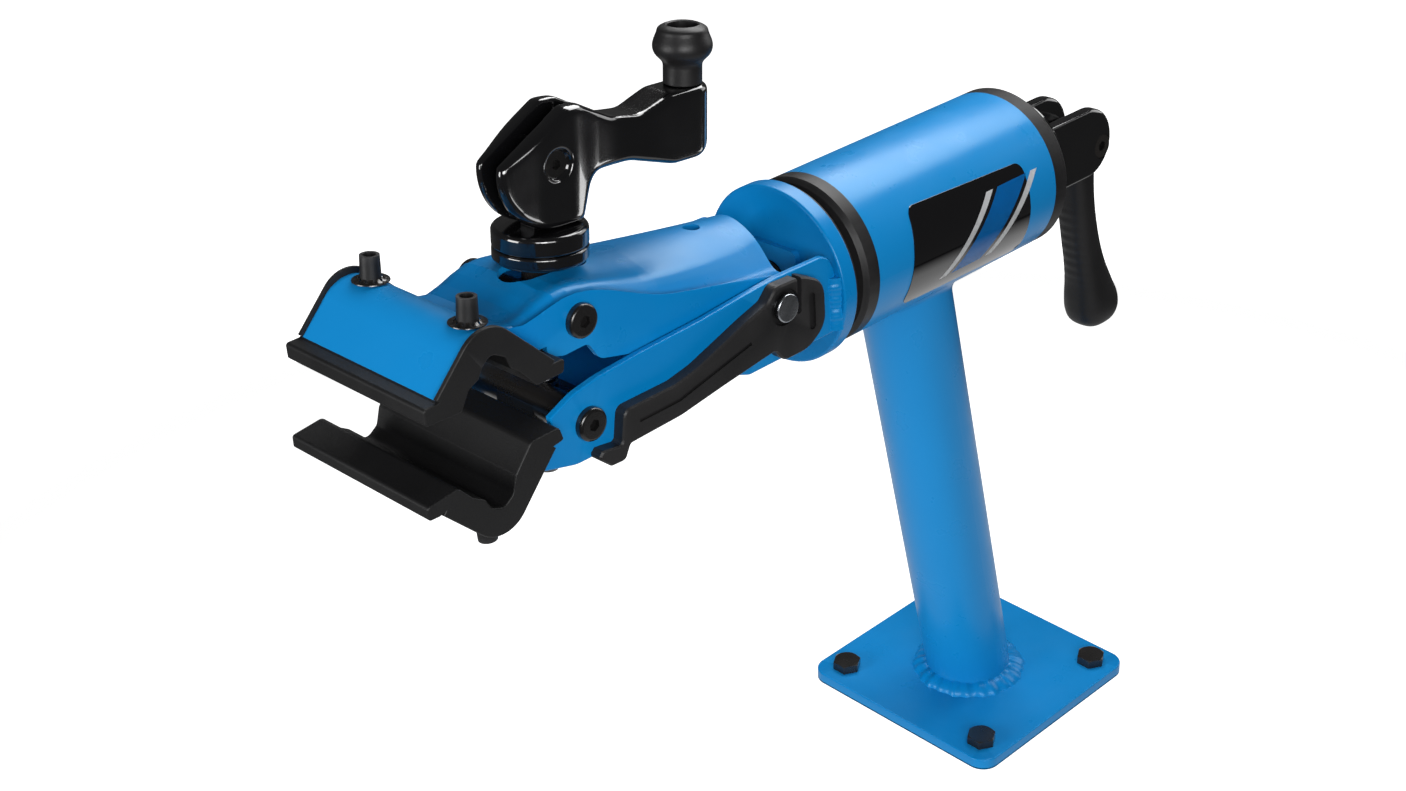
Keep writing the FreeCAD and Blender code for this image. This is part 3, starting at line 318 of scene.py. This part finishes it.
def make_materials():
    """The finish of each material slot, and the two inks of the label."""
    made = {}
    # the blue paint's lighter edge colour is a painted edge highlight
    made["blue_enamel"] = coated(
        "blue_enamel_paint", light=(0.0006, 0.200, 0.520), dark=(0.0004, 0.184, 0.485), rough=0.31,
        peel_scale=900, peel=0.05, wear_and_highlight=(0.01, 0.25, 0.60), specular=0.40, tint=(0.45, 0.80, 1.0),
        coat=0.10, coat_rough=0.20)
    made["black_enamel"] = coated(
        "black_enamel_paint", light=(0.0045, 0.0045, 0.005), dark=(0.003, 0.003, 0.0035), rough=0.14,
        peel_scale=260, peel=0.02, spread=0.03, coat=1.0, coat_rough=0.03)
    made["black_oxide"] = coated(
        "black_oxide_steel", light=(0.014, 0.013, 0.013), dark=(0.007, 0.007, 0.007), rough=0.27,
        peel_scale=1500, peel=0.16, wear_and_highlight=(0.035, 0.031, 0.028), metallic=0.3, coat=0.5)
    made["dark_steel"] = coated(
        "dark_turned_steel", light=(0.10, 0.10, 0.105), dark=(0.06, 0.06, 0.065), rough=0.30,
        peel_scale=1200, peel=0.10, metallic=1.0)
    made["zinc"] = coated(
        "zinc_plate", light=(0.62, 0.64, 0.66), dark=(0.42, 0.44, 0.47), rough=0.27,
        peel_scale=900, peel=0.15, spread=0.09, metallic=1.0)
    made["black_nylon"] = coated(
        "black_nylon_moulding", light=(0.0125, 0.012, 0.0125), dark=(0.0075, 0.0075, 0.008), rough=0.42,
        peel_scale=1500, peel=0.26, wear_and_highlight=(0.030, 0.029, 0.030), specular=0.30, grain=0.5)
    made["cover_rubber"] = coated(
        "cover_moulding", light=(0.0090, 0.0090, 0.0096), dark=(0.0060, 0.0060, 0.0064), rough=0.50,
        peel_scale=1900, peel=0.32, wear_and_highlight=(0.03, 0.03, 0.032), specular=0.32, grain=0.6)
    made["label_film"] = printed("label_gloss_film", (0.0035, 0.0033, 0.004), (0.003, 0.003, 0.0035), 0.10)
    made["label_blue"] = printed("label_blue_ink", (0.002, 0.20, 0.60), (0.002, 0.19, 0.57), 0.12)
    made["label_white"] = printed("label_white_ink", (0.86, 0.87, 0.88), (0.82, 0.83, 0.84), 0.14)
    return made


def dress_nodes():
    """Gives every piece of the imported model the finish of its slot."""
    slots = {part["node"]: part["material_slot"] for part in frame["record"]["subparts"]}
    for name, node in NODES.items():
        for material_slot in node.material_slots:
            material_slot.material = materials[slots[name]]


# ---------------------------------------------------------------- pieces: shared helpers

HEAD_ROLL = math.radians(-2.18)
BARREL_RISE = 315.2
BARREL_AXIS = Vector((0, 0, BARREL_RISE))
HEAD_TURN = (Matrix.Translation(BARREL_AXIS * MM) @ Matrix.Rotation(HEAD_ROLL, 4, "Y")
             @ Matrix.Translation(-BARREL_AXIS * MM))


def head_spot(joint_name):
    """A joint's place in millimetres, before the head is turned about the barrel."""
    place = [joint["pos_m"] for joint in frame["joints"] if joint["name"] == joint_name][0]
    return HEAD_TURN.inverted() @ Vector(place) / MM


def scale_mesh(bm, factor):
    bmesh.ops.scale(bm, vec=Vector((factor, factor, factor)), verts=bm.verts)


def make_piece(name, bm, body, slot, material=None, turn=None, angle=40):
    """Turns a bmesh given in millimetres into a piece that rides on a body."""
    scale_mesh(bm, MM)
    if turn is not None:
        bmesh.ops.transform(bm, matrix=turn, verts=bm.verts)
    bmesh.ops.recalc_face_normals(bm, faces=bm.faces)
    for face in bm.faces:
        face.smooth = True
    for edge in bm.edges:
        if len(edge.link_faces) == 2 and edge.calc_face_angle(0) > math.radians(angle):
            edge.smooth = False
    piece = mesh_object(name, bm, materials[material or slot])
    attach(piece, body)
    return piece


def skin_rings(bm, rings, closed_along=False):
    """Joins rings of equal count with quads, and closes the two ends or joins them."""
    made = [[bm.verts.new(point) for point in ring] for ring in rings]
    count = len(made[0])
    last = len(made) if closed_along else len(made) - 1
    for i in range(last):
        one = made[i]
        two = made[(i + 1) % len(made)]
        for k in range(count):
            bm.faces.new((one[k], one[(k + 1) % count], two[(k + 1) % count], two[k]))
    if not closed_along:
        bm.faces.new(made[0])
        bm.faces.new(list(reversed(made[-1])))


def between(first, second, share):
    """Values from first to second, each at the same share of the way."""
    return [a + (b - a) * share for a, b in zip(first, second)]


def spline(points, place):
    """Catmull-Rom value at a place from 0 to len(points) - 1."""
    start = min(int(place), len(points) - 2)
    share = place - start
    near = points[start]
    far = points[start + 1]
    before = points[start - 1] if start else between(far, near, 2)
    after = points[start + 2] if start + 2 < len(points) else between(near, far, 2)
    value = []
    for a, b, c, d in zip(before, near, far, after):
        slope = (c - a) * share
        bend = (2 * a - 5 * b + 4 * c - d) * share ** 2
        twist = (3 * b - a - 3 * c + d) * share ** 3
        value.append(0.5 * (2 * b + slope + bend + twist))
    return value


# ---------------------------------------------------------------- rear lever

LEVER_PIVOT = head_spot("lever_swing")
LEVER_STATIONS = [
    # y and z from the pivot, half depth along y, half width along x
    (0.0, 10.0, 1.2, 6.0), (0.0, 7.8, 6.2, 9.2), (0.0, 2.5, 9.6, 10.0), (0.2, -6.0, 9.9, 10.2),
    (0.9, -20.0, 8.8, 10.2), (2.4, -34.0, 8.2, 10.0), (4.7, -48.0, 8.6, 9.8), (7.8, -62.0, 9.4, 9.8),
    (11.4, -75.0, 10.6, 10.2), (15.2, -87.0, 12.6, 11.4), (18.0, -97.5, 14.8, 12.8),
    (19.0, -105.5, 14.9, 12.8), (18.9, -111.5, 12.2, 10.8), (18.5, -115.2, 6.6, 6.2),
    (18.3, -116.0, 1.2, 1.2),
]
LEVER_RINGS = 150
LEVER_POINTS = 48
LEVER_SQUARENESS = 0.78     # 1 is an oval section, and less is nearer to a rectangle
RIB_COUNT = 9
RIB_HEIGHT = 0.55
RIB_HALF_WIDTH = 0.82       # as a share of the lever's half width
RIBS_START = 36.0           # below the pivot
RIBS_LENGTH = 50.0
RIB_SIDE_POWER = 3          # how fast a rib dies out towards the sides
RIB_END_POWER = 0.4         # how fast the ribs rise at either end of their row


def lever_ring(station):
    """Section of the grip, with the finger ribs on the side towards the post."""
    y, z, deep, wide = station
    along = (-z - RIBS_START) / RIBS_LENGTH
    ring = []
    for k in range(LEVER_POINTS):
        angle = TAU * k / LEVER_POINTS
        depth = math.copysign(abs(math.cos(angle)) ** LEVER_SQUARENESS, math.cos(angle))
        side = math.copysign(abs(math.sin(angle)) ** LEVER_SQUARENESS, math.sin(angle))
        rib = 0.0
        if 0 < along < 1 and abs(side) < RIB_HALF_WIDTH:
            front = max(0.0, -depth) ** RIB_SIDE_POWER
            wave = 0.5 + 0.5 * math.cos(TAU * along * RIB_COUNT)
            rib = RIB_HEIGHT * front * math.sin(math.pi * along) ** RIB_END_POWER * wave
        ring.append((wide * side, LEVER_PIVOT.y + y + (deep + rib) * depth, LEVER_PIVOT.z + z))
    return ring


def make_rear_lever():
    rings = []
    for i in range(LEVER_RINGS + 1):
        place = i / LEVER_RINGS * (len(LEVER_STATIONS) - 1)
        rings.append(lever_ring(spline(LEVER_STATIONS, place)))
    bm = bmesh.new()
    skin_rings(bm, rings)
    lever = make_piece("rear_lever_grip", bm, "rear_lever", "black_nylon", turn=HEAD_TURN)
    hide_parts("rear_lever")


# ---------------------------------------------------------------- stripes on the barrel's label

INK_RADIUS = 42.03
INK_THICKNESS = 0.04
INK_STEPS = 14
STRIPE_LOW = -24.0          # angles about the barrel, in degrees
STRIPE_HIGH = 24.0
STRIPE_SLANT = 34.0
STRIPES = [
    # name, y of its lower left corner, width, ink
    ("label_stripe_a", -80.0, 5.0, "label_white"),
    ("label_stripe_b", -71.5, 22.0, "label_blue"),
    ("label_stripe_c", -46.0, 5.0, "label_white"),
]


def on_barrel(y, angle):
    turn = math.radians(angle)
    return Vector((INK_RADIUS * math.cos(turn), y, BARREL_RISE + INK_RADIUS * math.sin(turn)))


def make_stripe(name, start, wide, ink):
    """Thin printed patch: a slanted quad in (y, degrees), wrapped on the barrel."""
    bm = bmesh.new()
    rows = []
    for i in range(INK_STEPS + 1):
        low = (start + wide * i / INK_STEPS, STRIPE_LOW)
        high = (low[0] + STRIPE_SLANT, STRIPE_HIGH)
        row = [bm.verts.new(on_barrel(*between(low, high, k / INK_STEPS))) for k in range(INK_STEPS + 1)]
        rows.append(row)
    for one, two in zip(rows, rows[1:]):
        for k in range(INK_STEPS):
            bm.faces.new((one[k], two[k], two[k + 1], one[k + 1]))
    bmesh.ops.solidify(bm, geom=bm.faces[:], thickness=INK_THICKNESS)
    make_piece(name, bm, "stand", "label_film", material=ink)


def make_label():
    """Plain slanted stripes: one broad blue between two narrow white ones."""
    for stripe in STRIPES:
        make_stripe(*stripe)


# ---------------------------------------------------------------- clamp rod and its thread

ROD_LEAN = math.radians(5.2)
ROD_BASIS = Matrix.Rotation(-ROD_LEAN, 4, "X")
ROD_TURN = HEAD_TURN @ Matrix.Translation(head_spot("screw_spin") * MM) @ ROD_BASIS
THREAD_RADIUS = 5.98
THREAD_LOW = -103.8         # along the rod, from the joint between the discs
THREAD_HIGH = -22.8
THREAD_PITCH = 3.0
THREAD_DEPTH = 0.85
THREAD_FLANK = 2.6          # how steep the groove's flanks are
THREAD_STEPS = 12           # rings to a turn
THREAD_POINTS = 40
RUN_OUT_LOW = 2.0           # over which the groove fades at either end
RUN_OUT_HIGH = 4.0
POINT_LENGTH = 1.6
POINT_SLOPE = 0.8


def thread_radius(height, turn):
    """Radius of the thread at a height and at a share of a turn."""
    fade = min(1.0, (height - THREAD_LOW) / RUN_OUT_LOW, (THREAD_HIGH - height) / RUN_OUT_HIGH)
    phase = (height / THREAD_PITCH - turn) % 1.0
    groove = max(0.0, 1 - abs(phase - 0.5) * THREAD_FLANK)
    point = max(0.0, POINT_LENGTH - (height - THREAD_LOW)) * POINT_SLOPE
    return THREAD_RADIUS - THREAD_DEPTH * max(0.0, fade) * groove - point


def make_thread():
    length = THREAD_HIGH - THREAD_LOW
    steps = int(length / THREAD_PITCH * THREAD_STEPS)
    rings = []
    for i in range(steps + 1):
        height = THREAD_LOW + length * i / steps
        ring = []
        for k in range(THREAD_POINTS):
            angle = TAU * k / THREAD_POINTS
            radius = thread_radius(height, k / THREAD_POINTS)
            ring.append((radius * math.cos(angle), radius * math.sin(angle), height))
        rings.append(ring)
    bm = bmesh.new()
    skin_rings(bm, rings)
    thread = make_piece("rod_thread", bm, "clamp_screw", "dark_steel", turn=ROD_TURN, angle=60)
    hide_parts("clamp_rod")


def make_rod_head():
    """The plain rod above the thread."""
    bm = bmesh.new()
    bm.from_mesh(NODES["clamp_rod"].data)
    spot = ROD_TURN @ Vector((0, 0, THREAD_HIGH * MM))
    axis = ROD_TURN.to_3x3() @ Vector((0, 0, 1))
    cut = bmesh.ops.bisect_plane(bm, geom=bm.verts[:] + bm.edges[:] + bm.faces[:], dist=1e-7, plane_co=spot,
                                 plane_no=axis, clear_inner=True)
    rim = [edge for edge in cut["geom_cut"] if isinstance(edge, bmesh.types.BMEdge)]
    bmesh.ops.contextual_create(bm, geom=rim)
    scale_mesh(bm, 1 / MM)
    head = make_piece("rod_head", bm, "clamp_screw", "dark_steel", angle=30)
    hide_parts("clamp_rod")


# ---------------------------------------------------------------- cast handle

HANDLE_VOXEL = 0.5 * MM
HANDLE_SMOOTHING = 24
CHEEK_START = 5.0           # from the middle, where the cheeks start to follow the changes below
CHEEK_FULL = 5.0            # past that, where they follow them whole
WAIST_DEPTH = 1.8
WAIST_PLACE = 37.0          # from the rod's axis, towards the knob
WAIST_REACH = 15.0
NOSE_DEPTH = 3.4
NOSE_START = 2.0            # from the rod's axis, away from the knob
NOSE_REACH = 24.0
NOSE_POWER = 1.3
FLARE_DEPTH = 2.4
FLARE_END = 26.0
FLARE_REACH = 18.0


def ease(value):
    value = max(0.0, min(1.0, value))
    return value * value * (3 - 2 * value)


def softened(data):
    """Copy of a mesh as an even one, with soft edges."""
    raw = add_object("handle_raw", data.copy())
    even = raw.modifiers.new("even", "REMESH")
    even.mode = "VOXEL"
    even.voxel_size = HANDLE_VOXEL
    soften = raw.modifiers.new("soften", "SMOOTH")
    soften.factor = 0.5
    soften.iterations = HANDLE_SMOOTHING
    bpy.context.view_layer.update()
    mesh = bpy.data.meshes.new_from_object(raw.evaluated_get(bpy.context.evaluated_depsgraph_get()))
    bpy.data.objects.remove(raw)
    bm = bmesh.new()
    bm.from_mesh(mesh)
    bpy.data.meshes.remove(mesh)
    return bm


def make_handle():
    """The handle's own solid as a casting: soft edges, a pinched waist, a flared fork and a narrower nose."""
    bm = softened(NODES["clamp_handle"].data)
    bmesh.ops.transform(bm, matrix=ROD_TURN.inverted(), verts=bm.verts)
    scale_mesh(bm, 1 / MM)
    for vert in bm.verts:
        x = vert.co.x
        along = vert.co.y
        outer = ease((abs(x) - CHEEK_START) / CHEEK_FULL)
        waist = WAIST_DEPTH * math.exp(-((along - WAIST_PLACE) / WAIST_REACH) ** 2)
        nose = NOSE_DEPTH * ease((-along - NOSE_START) / NOSE_REACH) ** NOSE_POWER
        flare = FLARE_DEPTH * ease((FLARE_END - along) / FLARE_REACH)
        vert.co.x = math.copysign(abs(x) + (flare - waist - nose) * outer, x)
    piece = make_piece("handle_casting", bm, "clamp_handle", "black_enamel", turn=ROD_TURN, angle=180)
    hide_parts("clamp_handle")
    light_handle(piece)


# ---------------------------------------------------------------- welds

POST_RADIUS = 23.9
POST_LEAN = math.radians(12.93)
PLATE_TOP = 6.4
BEAD_POINTS = 8
BEAD_BACK = 0.6             # how far the bead's root lies inside the metal
BEAD_FLATNESS = 0.12
BEAD_LUMPS = [
    # height as a share of the bead, waves along it, offset of the waves
    (0.06, 0.37, 0.0), (0.05, 0.91, 1.0),
]
RIPPLE_POWER = 0.6
FOOT_BEAD_STEPS = 240
FOOT_BEAD_RADIUS = 27.0     # about the middle of the bead
FOOT_BEAD_RIPPLES = 34
FOOT_BEAD_INSET = 0.3
ARM_WELD_SIDE = 38.2
ARM_WELD_Y = -152.8
ARM_WELD_LOW = 299.5
ARM_WELD_LENGTH = 26.0
ARM_WELD_STEPS = 60
ARM_WELD_PITCH = 3.1


def weld_bead(line, width, height, ripple, pitch):
    """Rings of a bead along a line of (root, side, up, distance), side and up being its two legs."""
    rings = []
    for root, side, up, distance in line:
        wave = 0.5 + 0.5 * math.cos(TAU * distance / pitch)
        lump = 1 + sum(share * math.sin(distance * waves + shift) for share, waves, shift in BEAD_LUMPS)
        grow = lump * (1 + ripple * (wave ** RIPPLE_POWER - 0.5))
        ring = [root - side * BEAD_BACK - up * BEAD_BACK]
        for k in range(BEAD_POINTS + 1):
            angle = math.pi / 2 * k / BEAD_POINTS
            bulge = 1 - BEAD_FLATNESS * math.sin(2 * angle)
            ring.append(root + side * (width * grow * math.cos(angle) * bulge)
                        + up * (height * grow * math.sin(angle) * bulge))
        rings.append(ring)
    return rings


def make_base_weld():
    """Bead round the foot of the leaning post."""
    up = Vector((0, -math.sin(POST_LEAN), math.cos(POST_LEAN)))
    line = []
    for i in range(FOOT_BEAD_STEPS):
        angle = TAU * i / FOOT_BEAD_STEPS
        x = POST_RADIUS * math.cos(angle)
        y = POST_RADIUS * math.sin(angle) / math.cos(POST_LEAN)
        out = Vector((math.cos(angle), math.sin(angle), 0))
        root = Vector((x, y, PLATE_TOP)) - out * FOOT_BEAD_INSET
        line.append((root, out, up, angle * FOOT_BEAD_RADIUS))
    pitch = TAU * FOOT_BEAD_RADIUS / FOOT_BEAD_RIPPLES
    bm = bmesh.new()
    skin_rings(bm, weld_bead(line, width=8.2, height=5.4, ripple=0.015, pitch=pitch), closed_along=True)
    weld = make_piece("foot_weld", bm, "stand", "blue_enamel", angle=70)
    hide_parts("base_weld")


def make_arm_weld(name, side):
    """Upright bead between the flange disc and an arm of the lower jaw."""
    line = []
    for i in range(ARM_WELD_STEPS + 1):
        distance = ARM_WELD_LENGTH * i / ARM_WELD_STEPS
        root = Vector((side * ARM_WELD_SIDE, ARM_WELD_Y, ARM_WELD_LOW + distance))
        line.append((root, Vector((side, 0, 0)), Vector((0, -1, 0)), distance))
    bm = bmesh.new()
    skin_rings(bm, weld_bead(line, width=3.6, height=4.6, ripple=0.05, pitch=ARM_WELD_PITCH))
    weld = make_piece(name, bm, "head", "blue_enamel", turn=HEAD_TURN, angle=70)
    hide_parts("arm_weld")


# ---------------------------------------------------------------- peg retainers

PEG_OFFSET = 31.5
RETAINER_POINTS = 96
RETAINER_TEETH = 10
RETAINER_PROFILE = [
    # radius and height, from the tip of a tooth out to the rim and back underneath
    (4.85, 1.55), (5.6, 0.75), (7.0, 0.45), (7.9, 0.35), (8.0, 0.0), (7.0, 0.0), (5.4, 0.2), (4.75, 1.1),
]
TOOTH_ROOT = 6.0            # what lies inside this radius is cut away between the teeth
GAP_START = -0.35           # cosine at which a tooth ends and a gap starts
GAP_RADIUS = 5.7
GAP_TOP = 0.55              # the collar's two faces in a gap
GAP_BOTTOM = 0.1
TOP_SIDE = 0.6              # points of a tooth above this height are on its upper face
RETAINERS = [
    # piece, node, body, foot of the pegs, direction of the pegs, height on them
    ("upper_retainer", "upper_retainers", "upper_jaw", (0, -352.9, 371.5), (0, 0.10, 0.995), 5.5),
    ("lower_retainer", "lower_retainers", "head", (0, -356.5, 297.6), (0, 0.02, -1), 5.8),
]


def retainer_ring(radius, rise):
    """One circle of the profile, cut back between the teeth."""
    ring = []
    for k in range(RETAINER_POINTS):
        angle = TAU * k / RETAINER_POINTS
        in_gap = radius < TOOTH_ROOT and math.cos(angle * RETAINER_TEETH) <= GAP_START
        reach = GAP_RADIUS if in_gap else radius
        gap_height = GAP_TOP if rise > TOP_SIDE else GAP_BOTTOM
        height = gap_height if in_gap else rise
        ring.append((reach * math.cos(angle), reach * math.sin(angle), height))
    return ring


def make_retainer(name, node, body, foot, way, level, side):
    """Push-on ring: a dished collar with short teeth bent up round the peg."""
    bm = bmesh.new()
    skin_rings(bm, [retainer_ring(radius, rise) for radius, rise in RETAINER_PROFILE], closed_along=True)
    way = Vector(way).normalized()
    spot = Vector(foot) + Vector((side * PEG_OFFSET, 0, 0)) + way * level
    turn = HEAD_TURN @ Matrix.Translation(spot * MM) @ way.to_track_quat("Z", "Y").to_matrix().to_4x4()
    ring = make_piece(name, bm, body, "black_oxide", turn=turn, angle=50)
    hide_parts(node)


# ---------------------------------------------------------------- the scene

make_camera()
make_studio()
materials = make_materials()
dress_nodes()
make_rear_lever()
make_label()
make_thread()
make_rod_head()
make_handle()
make_base_weld()
for side, tag in ((1, "right"), (-1, "left")):
    make_arm_weld("arm_weld_" + tag, side)
for side, tag in ((1, "right"), (-1, "left")):
    for piece_name, node, body, foot, way, level in RETAINERS:
        make_retainer(piece_name + "_" + tag, node, body, foot, way, level, side)
